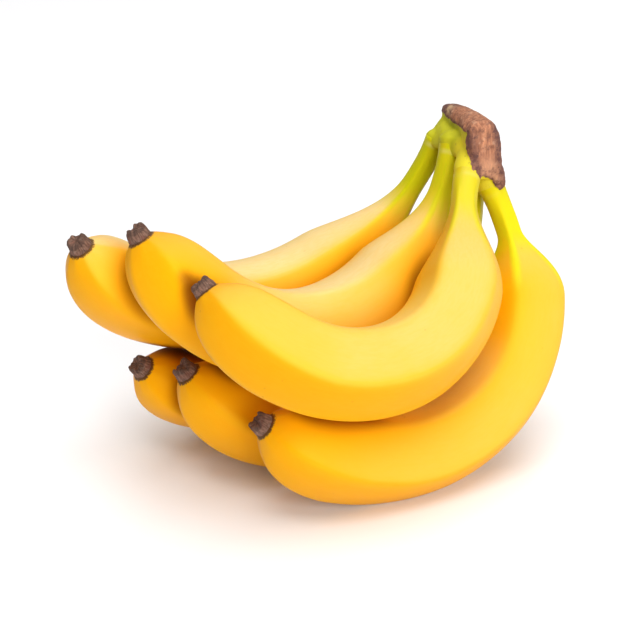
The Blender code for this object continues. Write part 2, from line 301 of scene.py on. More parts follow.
def make_object(name, points_mm, faces):
    """A mesh object in metres; its place is in its mesh."""
    mesh = bpy.data.meshes.new(name)
    mesh.from_pydata([tuple(p * MM) for p in points_mm], [], faces)
    mesh.update()
    bm = bmesh.new()
    bm.from_mesh(mesh)
    bmesh.ops.recalc_face_normals(bm, faces=bm.faces)
    bm.to_mesh(mesh)
    bm.free()
    mesh.shade_smooth()
    return new_object(name, mesh)


def float_attribute(mesh, name, values):
    layer = mesh.attributes.new(name, "FLOAT", "POINT")
    layer.data.foreach_set("value", np.asarray(values, np.float32))


def vector_attribute(mesh, name, values):
    layer = mesh.attributes.new(name, "FLOAT_VECTOR", "POINT")
    layer.data.foreach_set("vector", np.asarray(values, np.float32).ravel())


def point_normals(mesh):
    normals = np.zeros(len(mesh.vertices) * 3)
    mesh.vertices.foreach_get("normal", normals)
    return normals.reshape(-1, 3)


def peel_stations(fruit):
    """The stations of a peel's rows, from inside its collar to its blossom end."""
    end = fruit["length"] - END_LENGTH
    start = fruit["start"] - overlap(fruit)
    body = np.linspace(start, end - CLOSE_LENGTH, BODY_ROWS)
    close = end - CLOSE_LENGTH * (1.0 - np.linspace(0.0, 1.0, CLOSE_ROWS)[1:]) ** 1.5
    return np.concatenate([body, close])


def ridge_heights(phase, index):
    """The height of the ridge beside each point; each ridge has its own."""
    heights = np.random.default_rng(RIDGE_SEED + index).uniform(*RIDGE_HEIGHTS, 5)
    which = np.zeros_like(phase)
    weight = np.zeros_like(phase)
    for k in range(5):
        near = np.clip(np.cos(phase - 2 * pi * k / 5), 0.0, None) ** 6
        which += heights[k] * near
        weight += near
    return which / np.maximum(weight, 1e-6)


def ridge_share(fruit, index, s, phase, left):
    """How much of the five-sided section shows: most at the shoulder and the tip, and
    least on the outer side near the crown."""
    outer = np.clip(np.cos(phase), 0.0, None) ** 3
    first_part = 1.0 - smooth(0.28, 0.55, s / fruit["length"])
    height = ridge_heights(phase, index) * (1.0 - OUTER_LOSS * outer * first_part)
    shoulder = fruit["pedicel"] + fruit["shoulder"] * 0.55
    share = RIDGES_EVERYWHERE
    share = share + RIDGES_AT_SHOULDER * np.exp(-(((s - shoulder) / 34.0) ** 2))
    share = share + RIDGES_AT_TIP * np.exp(-(((left - 24.0) / 20.0) ** 2))
    grown = smooth(2.0, 14.0, s - fruit["start"])
    return share * grown * height * smooth(-1.0, 8.0, left)


def pressed(fruit, points, outward):
    """The points pushed in where other bananas press, and how far off the nearest is."""
    spine = SPINES[fruit["name"]]
    own = tube_distance(points, spine)
    nearest = np.full(len(points), FAR)
    for other in FRUITS:
        if other is fruit:
            continue
        other_spine = SPINES[other["name"]]
        theirs = tube_distance(points, other_spine)
        for _ in range(PRESS_ROUNDS):
            excess = own - theirs + PRESS_GAP
            push = excess > 0
            if not push.any():
                break
            move = np.zeros(len(points))
            move[push] = excess[push] * PRESS_SHARE + PRESS_EXTRA
            points = points - outward * move[:, None]
            own[push] = tube_distance(points[push], spine)
            theirs[push] = tube_distance(points[push], other_spine)
        nearest = np.minimum(nearest, theirs - own)
    return points, nearest


def side_facings(fruit, s, phase):
    """How far the flat side beside each point faces the sunny side, and how far up."""
    spine = SPINES[fruit["name"]]
    _, _, inward = spine.at(s)
    sunny = np.zeros_like(phase)
    upward = np.zeros_like(phase)
    total = np.zeros_like(phase)
    for k in range(5):
        middle = pi / 5 + 2 * pi * k / 5
        turn = middle + ridge_at(fruit, s)
        normal = -inward * np.cos(turn)[:, None]
        normal[:, 1] = np.sin(turn)
        normal = normal @ spine.matrix[:3, :3].T
        near = np.clip(np.cos(phase - middle), 0.0, None) ** 14
        sunny += near * (normal @ SUNNY_SIDE)[:, None]
        upward += near * normal[:, 2:]
        total += near
    return sunny / total, upward / total


def paint_peel(mesh, fruit, index, s, phase, reach, nearest):
    """The attributes that the peel's colours follow."""
    ss = np.repeat(s[:, None], AROUND, axis=1)
    left = fruit["length"] - END_LENGTH - ss
    along = ss - fruit["pedicel"]
    past_start = ss - fruit["start"]
    lower = "lower" in fruit["name"]

    def per_point(values):
        """Values of the grid, then of the two points that close its ends."""
        values = np.asarray(values).ravel()
        return np.concatenate([values, [values[0], values[-1]]])

    gap = np.append(np.clip(nearest, 0.0, None), [FAR_GAP, FAR_GAP])
    # painted golden shade at the blossom end and, in the lower row, near the next banana
    golden_shade = fruit["golden_shade"] * per_point(np.exp(-left / GOLDEN_SHADE_FADE))
    if lower:
        golden_shade = np.clip(golden_shade + LOWER_GOLDEN_SHADE * np.exp(-gap / LOWER_GOLDEN_SHADE_FADE), 0.0, 1.0)
    # painted light: pale where a side faces SUNNY_SIDE, golden where it faces away
    normals = point_normals(mesh)
    side_sunny, side_upward = side_facings(fruit, s, phase)
    sunny = 0.5 * per_point(side_sunny) + 0.5 * (normals @ SUNNY_SIDE)
    float_attribute(mesh, "pale", smooth(-0.35, 0.95, sunny) - golden_shade)
    # painted highlight: cream on sides that face up, less under the painted golden shade
    upward = 0.6 * per_point(side_upward) + 0.4 * normals[:, 2]
    cream = fruit["top_light"] * smooth(0.55, 0.90, upward) * (1.0 - golden_shade)
    float_attribute(mesh, "cream", cream)

    # the green of the neck ends in a wavy line, with tongues down the ridges
    wavy = 2.0 * np.sin(phase * 2.0 + index)
    corner = five_sided(phase) * 11.0
    tongue = 17.0 * np.clip(corner - 0.1, 0.0, 1.0)
    olive = fruit["olive"] * (1.0 - smooth(-4.0, 24.0, along + wavy - 0.3 * tongue))
    float_attribute(mesh, "olive", per_point(olive))
    lemon = 1.0 - smooth(-2.0, 13.0, along + wavy - tongue)
    lemon = (0.3 + 0.7 * fruit["lemon"]) * lemon
    lemon = lemon * smooth(-2.0, 10.0, past_start + 12.0 * fruit["lemon"])
    float_attribute(mesh, "lemon", per_point(lemon))
    scar = np.exp(-(((past_start - 1.4 - 0.5 * np.sin(phase * 3)) / 0.55) ** 2))
    float_attribute(mesh, "scar", per_point(scar * fruit["olive"]))
    float_attribute(mesh, "tip", per_point(np.exp(-((left / 1.1) ** 2))))

    # painted shade: orange where another banana is near
    on_body = per_point(smooth(2.0, 26.0, along))
    near_shade_fade = LOWER_NEAR_SHADE_FADE if lower else NEAR_SHADE_FADE
    float_attribute(mesh, "near_shade", np.exp(-gap / near_shade_fade) * on_body)
    # painted shadow: a dark line where two bananas meet, wider on the front banana
    shadow_line = FRONT_SHADOW_LINE if fruit["name"] == "banana_lower_front" else SHADOW_LINE
    float_attribute(mesh, "contact_shadow", np.exp(-((gap / shadow_line) ** 4)) * on_body)
    crest = np.clip(corner - 0.2, 0.0, 1.0) * smooth(2.0, 20.0, left)
    float_attribute(mesh, "ridge", per_point(crest))

    # the skin's grain runs lengthwise
    turn = phase + ridge_at(fruit, ss)
    grain = np.stack([np.cos(turn) * reach, np.sin(turn) * reach, ss * 0.22], 2)
    grain = grain.reshape(-1, 3)
    vector_attribute(mesh, "grain", np.vstack([grain, grain[0], grain[-1]]) * 0.1)


def banana(fruit, index):
    """One banana's skin from inside its collar to its blossom end."""
    spine = SPINES[fruit["name"]]
    s = peel_stations(fruit)
    centre, _, inward = spine.at(s)
    steps = np.linspace(0.0, 2.0 * pi, AROUND, endpoint=False)
    ss, phase = np.meshgrid(s, steps, indexing="ij")
    turn = phase + ridge_at(fruit, ss)
    left = fruit["length"] - END_LENGTH - ss

    factor = 1.0 + five_sided(phase) * ridge_share(fruit, index, ss, phase, left)
    grown = smooth(2.0, 14.0, ss - fruit["start"])
    mean = 1.0 - (1.0 - MEAN_WIDTH) * grown
    reach = radius_at(fruit, s)[:, None] * factor * mean
    local = centre[:, None, :] + outward_from(inward, turn) * reach[:, :, None]
    points = spine.world(local.reshape(-1, 3))
    axis = spine.world(np.repeat(centre, AROUND, axis=0))

    broad = noise_field(points, BROAD_SWELL_SIZE, 2 + index)
    small = noise_field(points, SMALL_SWELL_SIZE, 9 + index)
    swell = broad * BROAD_SWELL + small * SMALL_SWELL
    fleshy = smooth(fruit["pedicel"], fruit["pedicel"] + 25.0, ss.ravel())
    points = axis + (points - axis) * (1.0 + swell * (0.3 + 0.7 * fleshy))[:, None]

    # small puckers where the skin gathers round the dried blossom end
    gather = np.exp(-((left.ravel() / PUCKER_LENGTH) ** 2))
    uneven = 0.7 * np.sin(3 * turn.ravel() + index)
    fold = np.cos(phase.ravel() * PUCKERS + uneven) * PUCKER_DEPTH
    outward = (points - axis) / np.linalg.norm(points - axis, axis=1)[:, None]
    points = points + outward * (fold * gather)[:, None]

    points, nearest = pressed(fruit, points, outward)
    points[:, 2] = np.maximum(points[:, 2], FLOOR_GAP)

    faces = grid_faces(len(s), AROUND)
    first_tip = len(points)
    tips = spine.world(centre[:1])[0], spine.world(centre[-1:])[0]
    last = (len(s) - 1) * AROUND
    for j in range(AROUND):
        k = (j + 1) % AROUND
        faces.append((k, j, first_tip))
        faces.append((last + j, last + k, first_tip + 1))
    made = make_object(fruit["name"] + "_peel", np.vstack([points, *tips]), faces)
    paint_peel(made.data, fruit, index, s, phase, reach, nearest)
    return made


# The blossom end's outline: height above its base and radius, over the rim and into the
# hollow
END_PROFILE = (
    (0.0, 3.9), (0.2, 4.35), (0.6, 4.6), (1.1, 4.55), (1.7, 4.4), (2.3, 4.25), (3.0, 4.1),
    (3.6, 3.95), (4.2, 3.75), (4.6, 3.45), (4.85, 3.1), (4.9, 2.6), (4.65, 2.1), (4.4, 1.5),
    (4.3, 1.0), (4.35, 0.4),
)
END_AROUND = 64
END_SUNK = 0.5
END_SEED = 70
TORN_FROM_ROW = 5
HOLLOW_FROM_ROW = 12
RIM_ROWS = (7, 8, 9, 10)
# Waves round it: size, number, which random turn they start from, and twist with height
END_RIBS = ((0.045, 3, 0, 0.0), (0.03, 5, 1, 0.0), (0.022, 11, 2, 0.2))
END_TORN = ((0.7, 2, 3), (0.3, 5, 4), (0.16, 9, 1))


def blossom_end(fruit, index):
    """The dried stub: crumpled, ragged, slightly hollow at its end."""
    spine = SPINES[fruit["name"]]
    base = fruit["length"] - END_LENGTH - END_SUNK
    centre, forward, inward = (v[0] for v in spine.at(np.array([base])))
    side = np.cross(inward, forward)
    turns = np.random.default_rng(END_SEED + index).uniform(0.0, 2 * pi, 5)
    points = []
    for row, (height, radius) in enumerate(END_PROFILE):
        free = min(1.0, height / 2.0)
        lip = min(1.0, max(0.0, (row - TORN_FROM_ROW) / 4.0))
        lip *= 0.3 if row >= HOLLOW_FROM_ROW else 1.0
        for i in range(END_AROUND):
            a = 2 * pi * i / END_AROUND
            ribs = sum(
                size * cos(number * a + turns[k] + twist * height)
                for size, number, k, twist in END_RIBS
            )
            torn = sum(size * sin(number * a + turns[k]) for size, number, k in END_TORN)
            p = centre + forward * (height + torn * lip)
            p = p + (side * cos(a) + inward * sin(a)) * radius * (1.0 + ribs * free)
            points.append(p)
    points = spine.world(np.array(points))
    core = spine.world((centre + forward * 2.6)[None])[0]
    outward = points - core
    outward /= np.linalg.norm(outward, axis=1)[:, None]
    coarse = noise_field(points, 2.2, 30 + index)
    fine = noise_field(points, 0.8, 40 + index)
    heights = np.repeat([h for h, _ in END_PROFILE], END_AROUND)
    rough = (0.34 * coarse + 0.15 * fine) * np.clip(heights / 1.5, 0.15, 1.0)
    points = points + outward * rough[:, None]

    rows = len(END_PROFILE)
    faces = grid_faces(rows, END_AROUND)
    faces.append(tuple(range(END_AROUND - 1, -1, -1)))
    faces.append(tuple(range((rows - 1) * END_AROUND, rows * END_AROUND)))
    name = fruit["name"].replace("banana", "blossom_end") + "_bark"
    made = make_object(name, points, faces)
    mesh = made.data
    rim = [1.0 if row in RIM_ROWS else 0.0 for row in range(rows)]
    float_attribute(mesh, "height", heights)
    float_attribute(mesh, "rim", np.repeat(rim, END_AROUND))
    angles = np.tile(np.arange(END_AROUND) * 2 * pi / END_AROUND, rows)
    grain = np.stack([np.cos(angles) * 5.5, np.sin(angles) * 5.5, heights * 0.35], 1)
    vector_attribute(mesh, "grain", grain * 0.1)
    return made


# The crown's own frame: x across (away from the fruits), y back along the row, z up.
CROWN_PLACE = (58.5, 46.5, 120.0)
CROWN_TURN = 24.0
CROWN_AROUND = 48
CROWN_VOXEL = 0.55
CROWN_SOFTENING = 14
# Each section: y, low z, high z, then left and right edge at the low z and at the high z.
PLATE = (
    (-21.5, -8.5, 12.0, -4.0, 5.6, -8.6, 2.4),
    (-20.0, -10.5, 14.0, -6.2, 7.2, -9.8, 3.9),
    (-13.0, -11.5, 14.0, -4.6, 8.4, -9.2, 4.6),
    (-5.0, -11.5, 13.4, -1.0, 9.2, -6.6, 5.4),
    (4.0, -11.5, 12.6, 1.0, 9.2, -5.4, 5.8),
    (12.0, -11.5, 11.4, 1.6, 8.6, -3.6, 6.0),
    (18.0, -10.8, 9.8, 1.4, 6.8, -1.8, 4.6),
    (19.5, -8.8, 8.2, 2.4, 5.4, -0.4, 3.4),
)
# The green flesh that joins the tops of the three upper pedicels.
WEB = (
    (-13.0, -3.5, 3.5, -8.6, 0.0, -7.6, 0.0),
    (-10.0, -4.0, 5.0, -9.6, 0.0, -8.2, 0.0),
    (-2.0, -4.5, 5.4, -10.2, 0.0, -8.4, 0.0),
    (5.0, -4.5, 5.2, -10.4, 0.0, -8.0, 0.0),
    (12.0, -5.5, 5.5, -12.0, 0.0, -4.4, 0.0),
    (16.0, -5.5, 5.5, -10.4, 0.0, -2.6, 0.0),
    (18.0, -4.0, 4.5, -7.5, 0.0, -1.6, 0.0),
)
# The leg of cork that hangs over the lower front pedicel.
LEG = (
    (-20.8, -13.5, -4.0, 5.6, 8.8, 1.0, 6.2),
    (-19.2, -16.8, -4.0, 5.4, 10.0, 0.0, 6.8),
    (-11.0, -16.8, -4.0, 5.4, 10.6, 0.0, 7.6),
    (-8.0, -14.0, -4.0, 5.8, 9.4, 1.0, 7.4),
)
# Where the cork ends below, across the front: two legs hang over the front pedicels.
LEG_ACROSS = (-11.0, -10.0, -7.0, -5.9, -4.0, -2.2, -0.9, 0.8, 3.0, 4.7, 6.9, 9.1, 10.5)
LEG_BOTTOM = (
    -4.0, -6.0, -8.6, -9.3, -8.3, -7.7, -8.8, -9.5, -10.8, -14.2, -16.3, -13.2, -11.0,
)
# Lines on the crown, each as two rows of figures: the cork's border on top (y, z), its
# left border in front (z, x) and the two sides of its front (z, x)
TOP_BORDER = (-21.0, -12.0, -2.0, 8.0, 19.0), (9.5, 9.0, 8.2, 7.5, 7.0)
LEFT_BORDER = (-16.0, -9.1, 10.0, 15.0), (3.0, -7.0, -10.0, -11.0)
RIGHT_SIDE = (-16.0, -8.0, -2.0, 10.0, 14.0), (9.6, 7.6, 5.8, 4.2, 3.6)
LEFT_SIDE = (-10.0, -6.0, 0.0, 8.0, 14.0), (-7.0, -6.4, -6.4, -8.4, -10.0)
# The cork's lower and left border farther back
BACK_BOTTOM = -9.0
BACK_LEFT = 4.0
# The middle of the tan spot on top, and its half widths
TAN_SPOT = (-2.6, 8.8, 10.8)
TAN_SPOT_SIZE = (3.5, 3.0, 2.6)
# How far the cork stands out over the green flesh
CORK_HEIGHT = 0.55
# A pedicel's collar: its rows, how far it goes on past both ends, how much wider than the
# pedicel it is, and how much it draws in under the peel
COLLAR_ROWS = 20
COLLAR_ABOVE = 2.5
COLLAR_BELOW = 0.6
COLLAR_WIDER = 0.7
COLLAR_DRAWN_IN = 1.05


def box_loft(sections, around, power=0.65):
    """A bar with soft corners through upright sections, in the crown's own frame."""
    a = np.linspace(0.0, 2 * pi, around, endpoint=False)
    wide = np.sign(np.cos(a)) * np.abs(np.cos(a)) ** power
    tall = np.sign(np.sin(a)) * np.abs(np.sin(a)) ** power
    share = (tall + 1.0) / 2.0
    rings = []
    for along, low, high, left_low, right_low, left_high, right_high in sections:
        left = left_low + (left_high - left_low) * share
        right = right_low + (right_high - right_low) * share
        x = (left + right) / 2 + wide * (right - left) / 2
        rings.append(np.stack([x, np.full(around, along), low + (high - low) * share], 1))
    return np.concatenate(rings)


def collar(fruit, around):
    """The round collar that one pedicel grows from, and its number of rows."""
    spine = SPINES[fruit["name"]]
    top = -fruit["sunk"] - COLLAR_ABOVE
    end = fruit["start"] + COLLAR_BELOW
    s = np.linspace(top, end, COLLAR_ROWS)
    centre, _, inward = spine.at(s)
    under_peel = smooth(fruit["start"] - overlap(fruit) - 1.0, end, s)
    radius = radius_at(fruit, np.full(COLLAR_ROWS, fruit["start"]))
    radius = radius + COLLAR_WIDER - COLLAR_DRAWN_IN * under_peel
    radius = radius * (0.4 + 0.6 * np.sqrt(np.clip((s - top) / 4.0, 0.0, 1.0)))
    a = np.linspace(0.0, 2 * pi, around, endpoint=False)
    out = outward_from(inward, np.tile(a, (COLLAR_ROWS, 1)))
    rings = centre[:, None, :] + out * radius[:, None, None]
    return spine.world(rings.reshape(-1, 3)), COLLAR_ROWS


def one_skin(name, pieces, around, voxel, softening):
    """The pieces joined to one closed skin; each is (points, rows) of closed rings."""
    bm = bmesh.new()
    for points, rows in pieces:
        verts = [bm.verts.new(tuple(p * MM)) for p in points]
        made = [bm.faces.new([verts[i] for i in face]) for face in grid_faces(rows, around)]
        first = range(around - 1, -1, -1)
        last = range((rows - 1) * around, rows * around)
        made.append(bm.faces.new([verts[i] for i in first]))
        made.append(bm.faces.new([verts[i] for i in last]))
        bmesh.ops.recalc_face_normals(bm, faces=made)
    mesh = bpy.data.meshes.new(name + "_raw")
    bm.to_mesh(mesh)
    bm.free()
    raw = new_object(name + "_raw", mesh)
    remesh = raw.modifiers.new("skin", "REMESH")
    remesh.mode = "VOXEL"
    remesh.voxel_size = voxel * MM
    smoothing = raw.modifiers.new("soften", "SMOOTH")
    smoothing.factor = 0.5
    smoothing.iterations = softening
    bpy.context.view_layer.update()
    graph = bpy.context.evaluated_depsgraph_get()
    skin = bpy.data.meshes.new_from_object(raw.evaluated_get(graph))
    skin.name = name
    bpy.data.objects.remove(raw, do_unlink=True)
    return new_object(name, skin)


def neighbour_mean(mesh, values, rounds=1):
    """Values at the points, replaced by the mean of their neighbours in each round."""
    edges = np.zeros(len(mesh.edges) * 2, dtype=np.int64)
    mesh.edges.foreach_get("vertices", edges)
    edges = edges.reshape(-1, 2)
    degree = np.bincount(edges.ravel(), minlength=len(values)).astype(float)
    for _ in range(rounds):
        total = np.zeros(len(values))
        np.add.at(total, edges[:, 0], values[edges[:, 1]])
        np.add.at(total, edges[:, 1], values[edges[:, 0]])
        values = total / degree
    return values


def cork_cover(co, x, y, z):
    """1 where dry cork covers the crown: its top, its far side, and its front end down to
    the two legs."""
    wander = noise_field(co, 4.0, 51) * 0.9 + noise_field(co, 1.5, 52) * 0.6
    top = z - np.interp(y, *TOP_BORDER)
    hang = smooth(-12.0, -6.0, y)
    bottom = np.interp(x, LEG_ACROSS, LEG_BOTTOM) * (1.0 - hang) + BACK_BOTTOM * hang
    behind = smooth(-19.0, -13.0, y)
    left_limit = np.interp(z, *LEFT_BORDER) * (1.0 - behind) + BACK_LEFT * behind
    cork = np.maximum(top, np.minimum(x - left_limit, z - bottom)) + wander
    return smooth(-0.45, 0.45, cork)


def cork_shades(cork, border, bend, x, y, z):
    """Where the cork is dark (its border, its sides in front, its crest and its back
    end), where it has a tan spot on top, and where it is paler low in front."""
    in_front = smooth(-17.0, -20.0, y)
    right_side = np.interp(z, *RIGHT_SIDE)
    left_side = np.interp(z, *LEFT_SIDE)
    beside = smooth(right_side - 5.0, right_side - 1.2, x)
    beside = beside + smooth(left_side + 2.8, left_side + 0.4, x)
    sides = 0.9 * np.minimum(beside, 1.0) * in_front
    crest = smooth(0.006, 0.02, bend) * smooth(0.0, 3.0, x) * (1.0 - 0.5 * in_front)
    dark = np.maximum(1.0 - smooth(0.6, 0.98, border), np.maximum(sides, crest)) * cork
    dark = np.maximum(dark, 0.95 * cork * smooth(3.0, 8.0, y))
    off = (np.stack([x, y, z], 1) - TAN_SPOT) / TAN_SPOT_SIZE
    tan_spot = np.exp(-(off**2).sum(axis=1))
    low_front = in_front * smooth(3.0, -6.0, z) * (1.0 - beside)
    return dark * (1.0 - tan_spot), tan_spot * cork, np.clip(low_front, 0.0, 1.0)


def crown():
    """The cut crown: dry cork over green flesh, with two legs over the front pedicels."""
    turned = Matrix.Rotation(radians(CROWN_TURN), 4, "Z")
    place = np.array(Matrix.Translation(Vector(CROWN_PLACE) + SHIFT) @ turned)
    pieces = []
    for sections in (PLATE, WEB, LEG):
        points = box_loft(sections, CROWN_AROUND) @ place[:3, :3].T + place[:3, 3]
        pieces.append((points, len(sections)))
    pieces += [collar(fruit, CROWN_AROUND) for fruit in FRUITS]
    made = one_skin("crown_cork", pieces, CROWN_AROUND, CROWN_VOXEL, CROWN_SOFTENING)
    skin = made.data

    co = np.zeros(len(skin.vertices) * 3)
    skin.vertices.foreach_get("co", co)
    co = co.reshape(-1, 3) / MM
    normals = point_normals(skin)
    inverse = np.linalg.inv(place)
    x, y, z = (co @ inverse[:3, :3].T + inverse[:3, 3]).T
    cork = cork_cover(co, x, y, z)
    mean = np.stack([neighbour_mean(skin, co[:, k]) for k in range(3)], 1)
    bend = neighbour_mean(skin, ((co - mean) * normals).sum(axis=1), 16)
    border = neighbour_mean(skin, cork, 14)
    dark, tan_spot, low_front = cork_shades(cork, border, bend, x, y, z)

    # fibres run up and down; the top is calmer than the sides
    fibres = np.stack([x, y, z * 0.16], 1)
    streak = noise_field(fibres, 1.1, 61) * 0.26 + noise_field(fibres, 2.6, 62) * 0.34
    streak = streak * (1.0 - 0.9 * smooth(0.15, 0.5, normals[:, 2]))
    lumps = noise_field(co, 4.5, 63) * 0.36 + noise_field(co, 1.5, 64) * 0.22
    pits = -0.6 * smooth(0.35, 0.75, noise_field(co, 2.1, 65))
    calm = 1.0 - 0.6 * smooth(0.2, 0.6, normals[:, 2])
    relief = cork * ((streak + lumps + pits) * calm + CORK_HEIGHT)
    relief = relief + (1.0 - cork) * lumps * 0.15
    co = co + normals * relief[:, None]
    skin.vertices.foreach_set("co", (co * MM).ravel())
    skin.update()
    skin.shade_smooth()

    float_attribute(skin, "cork", cork)
    float_attribute(skin, "edge", dark)
    float_attribute(skin, "tan_spot", tan_spot)
    float_attribute(skin, "low_front", low_front)
    float_attribute(skin, "height", smooth(-0.3, 1.2, relief))
    front_neck = smooth(-6.0, -12.0, y) * smooth(9.0, 4.0, z)
    front_neck = np.maximum(front_neck, smooth(-2.0, -8.0, y) * smooth(-7.0, -10.0, z))
    float_attribute(skin, "lemon", front_neck)
    vector_attribute(skin, "grain", fibres * 0.1)
    return made


def feed(tree, target, value):
    """Links a socket to another one, or sets it to a value."""
    if isinstance(value, bpy.types.NodeSocket):
        tree.links.new(value, target)
    else:
        target.default_value = value


def attribute(tree, name, output="Fac"):
    made = tree.nodes.new("ShaderNodeAttribute")
    made.attribute_name = name
    return made.outputs[output]


def mixed(tree, amount, a, b):
    """A colour mix; a, b and amount are sockets or values."""
    made = tree.nodes.new("ShaderNodeMix")
    made.data_type = "RGBA"
    feed(tree, made.inputs[0], amount)
    feed(tree, made.inputs[6], a)
    feed(tree, made.inputs[7], b)
    return made.outputs[2]


def maths(tree, operation, a, b, clamp=False):
    made = tree.nodes.new("ShaderNodeMath")
    made.operation = operation
    made.use_clamp = clamp
    feed(tree, made.inputs[0], a)
    feed(tree, made.inputs[1], b)
    return made.outputs[0]


def noise_socket(tree, vector, scale, detail, roughness=0.5):
    made = tree.nodes.new("ShaderNodeTexNoise")
    made.inputs["Scale"].default_value = scale
    made.inputs["Detail"].default_value = detail
    made.inputs["Roughness"].default_value = roughness
    tree.links.new(vector, made.inputs["Vector"])
    return made.outputs["Fac"]


def stretched(tree, value, low, high):
    """Maps low..high of a value to 0..1 in a smooth step."""
    made = tree.nodes.new("ShaderNodeMapRange")
    made.interpolation_type = "SMOOTHSTEP"
    made.inputs["From Min"].default_value = low
    made.inputs["From Max"].default_value = high
    tree.links.new(value, made.inputs["Value"])
    return made.outputs["Result"]


def weighed(tree, value, weight, clamp=False):
    return maths(tree, "MULTIPLY", value, weight, clamp)


def share_of(tree, name, weight, clamp=False):
    """An attribute's value times a weight."""
    return weighed(tree, attribute(tree, name), weight, clamp)


def about_zero(tree, value, weight):
    """A 0..1 noise turned to -weight/2..weight/2."""
    return weighed(tree, maths(tree, "SUBTRACT", value, 0.5), weight)


def new_material(name, roughness, specular):
    """A material, its tree and shader, its object coordinates and its grain."""
    made = bpy.data.materials.new(name)
    made.use_nodes = True
    tree = made.node_tree
    shader = tree.nodes["Principled BSDF"]
    shader.inputs["Roughness"].default_value = roughness
    shader.inputs["Specular IOR Level"].default_value = specular
    place = tree.nodes.new("ShaderNodeTexCoord").outputs["Object"]
    return made, tree, shader, place, attribute(tree, "grain", "Vector")


def bumped(tree, shader, height, distance, strength):
    bump = tree.nodes.new("ShaderNodeBump")
    bump.inputs["Distance"].default_value = distance
    feed(tree, bump.inputs["Strength"], strength)
    tree.links.new(height, bump.inputs["Height"])
    tree.links.new(bump.outputs["Normal"], shader.inputs["Normal"])


def peel_material():
    golden = (0.76, 0.340, 0.003, 1.0)
    yellow = (0.78, 0.455, 0.045, 1.0)
    peach = (0.78, 0.485, 0.105, 1.0)
    cream = (0.77, 0.58, 0.26, 1.0)
    streak_tan = (0.76, 0.41, 0.015, 1.0)
    orange = (0.93, 0.405, 0.001, 1.0)
    ridge_gold = (0.73, 0.43, 0.018, 1.0)
    lemon_green = (0.68, 0.62, 0.008, 1.0)
    olive_green = (0.48, 0.49, 0.003, 1.0)
    scar_pale = (0.62, 0.58, 0.20, 1.0)
    fleck_brown = (0.30, 0.13, 0.02, 1.0)
    shadow_brown = (0.25, 0.048, 0.001, 1.0)
    tip_brown = (0.10, 0.045, 0.018, 1.0)

    made, tree, shader, place, grain = new_material("peel", 0.46, 0.25)
    shader.inputs["Specular Tint"].default_value = (1.0, 0.62, 0.12, 1.0)
    shader.inputs["Subsurface Weight"].default_value = 0.10
    shader.inputs["Subsurface Radius"].default_value = (1.0, 0.45, 0.06)
    shader.inputs["Subsurface Scale"].default_value = 0.004

    # painted light and shade: golden on sides turned from the light, through yellow and
    # peach to cream on lit sides and on top
    patch = about_zero(tree, noise_socket(tree, place, 30.0, 3.0), 0.4)
    lit = maths(tree, "ADD", attribute(tree, "pale"), patch)
    colour = mixed(tree, stretched(tree, lit, 0.05, 0.75), golden, yellow)
    colour = mixed(tree, stretched(tree, lit, 0.72, 1.05), colour, peach)
    colour = mixed(tree, attribute(tree, "cream"), colour, cream)
    streaks = stretched(tree, noise_socket(tree, grain, 9.0, 4.0, 0.6), 0.35, 0.7)
    colour = mixed(tree, weighed(tree, streaks, 0.18), colour, streak_tan)
    # painted shade: orange near the other bananas
    near_shade = stretched(tree, attribute(tree, "near_shade"), 0.10, 0.70)
    colour = mixed(tree, weighed(tree, near_shade, 0.9), colour, orange)
    colour = mixed(tree, share_of(tree, "ridge", 0.28), colour, ridge_gold)

    # the green of the neck, and the scar where it leaves the crown
    uneven = weighed(tree, noise_socket(tree, grain, 5.0, 3.0), 0.6)
    uneven = maths(tree, "ADD", uneven, 0.7)
    lemon = share_of(tree, "lemon", uneven, True)
    colour = mixed(tree, weighed(tree, lemon, 0.9), colour, lemon_green)
    olive = share_of(tree, "olive", uneven, True)
    colour = mixed(tree, weighed(tree, olive, 0.95), colour, olive_green)
    colour = mixed(tree, share_of(tree, "scar", 0.55), colour, scar_pale)

    # sparse brown flecks, a dark painted shadow line where two bananas meet, and the
    # browned tip
    flecks = tree.nodes.new("ShaderNodeTexVoronoi")
    flecks.inputs["Scale"].default_value = 210.0
    flecks.inputs["Randomness"].default_value = 1.0
    tree.links.new(place, flecks.inputs["Vector"])
    dots = maths(tree, "LESS_THAN", flecks.outputs["Distance"], 0.10)
    sparse = stretched(tree, noise_socket(tree, place, 55.0, 2.0), 0.58, 0.72)
    fleck = weighed(tree, weighed(tree, dots, sparse), 0.3)
    colour = mixed(tree, fleck, colour, fleck_brown)
    colour = mixed(tree, share_of(tree, "contact_shadow", 0.9), colour, shadow_brown)
    torn = about_zero(tree, noise_socket(tree, grain, 16.0, 4.0), 0.9)
    browned = stretched(tree, maths(tree, "ADD", attribute(tree, "tip"), torn), 0.45, 0.85)
    colour = mixed(tree, browned, colour, tip_brown)
    tree.links.new(colour, shader.inputs["Base Color"])

    fine = weighed(tree, noise_socket(tree, grain, 60.0, 3.0), 0.4)
    height = maths(tree, "ADD", fine, noise_socket(tree, place, 120.0, 2.0))
    bumped(tree, shader, height, 0.00012, 0.6)
    return made


